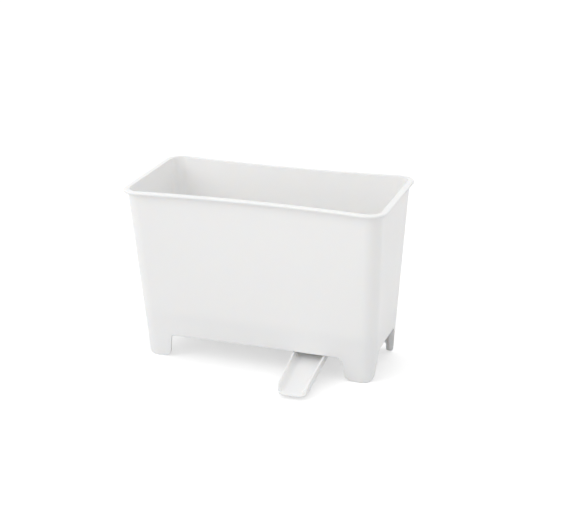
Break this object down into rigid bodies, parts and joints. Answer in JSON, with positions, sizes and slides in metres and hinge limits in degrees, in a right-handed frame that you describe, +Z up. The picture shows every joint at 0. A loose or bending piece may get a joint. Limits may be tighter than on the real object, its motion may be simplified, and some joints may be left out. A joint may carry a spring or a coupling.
{
  "type": "draining tub with swivel spout",
  "caption": "Open oblong moulded tub on short feet, with an out-turned rim, a lift-out slotted floor and an open drain spout that swivels under the front edge.",
  "frame": {"origin": "on the ground under the middle of the whole object's outline seen from above, spout at rest pointing forward", "axes": "+Z up, +X to the right along the tub's length, -Y towards the front, where the spout pours"},
  "size_m": [0.3, 0.1891, 0.204],
  "materials": {
    "tub": "moulded, satin",
    "drain_bush": "moulded, satin",
    "drain_seal": "matt",
    "drain_spout": "moulded, satin",
    "floor_grid": "moulded, satin"
  },
  "bodies": {
    "tub": {"tub": "tub", "drain_bush": "drain_bush", "drain_seal": "drain_seal"},
    "drain_spout": {"drain_spout": "drain_spout"},
    "floor_grid": {"floor_grid": "floor_grid"}
  },
  "joints": [
    {"name": "spout_swivel", "type": "hinge", "parent": "tub", "child": "drain_spout", "pos_m": [0.0615, 0.01815, 0.034], "axis": [0, 0, 1], "range_deg": [-100, 17]},
    {"name": "grid_lift", "type": "slide", "parent": "tub", "child": "floor_grid", "axis": [0, 0, 1], "range_m": [0, 0.18]}
  ]
}
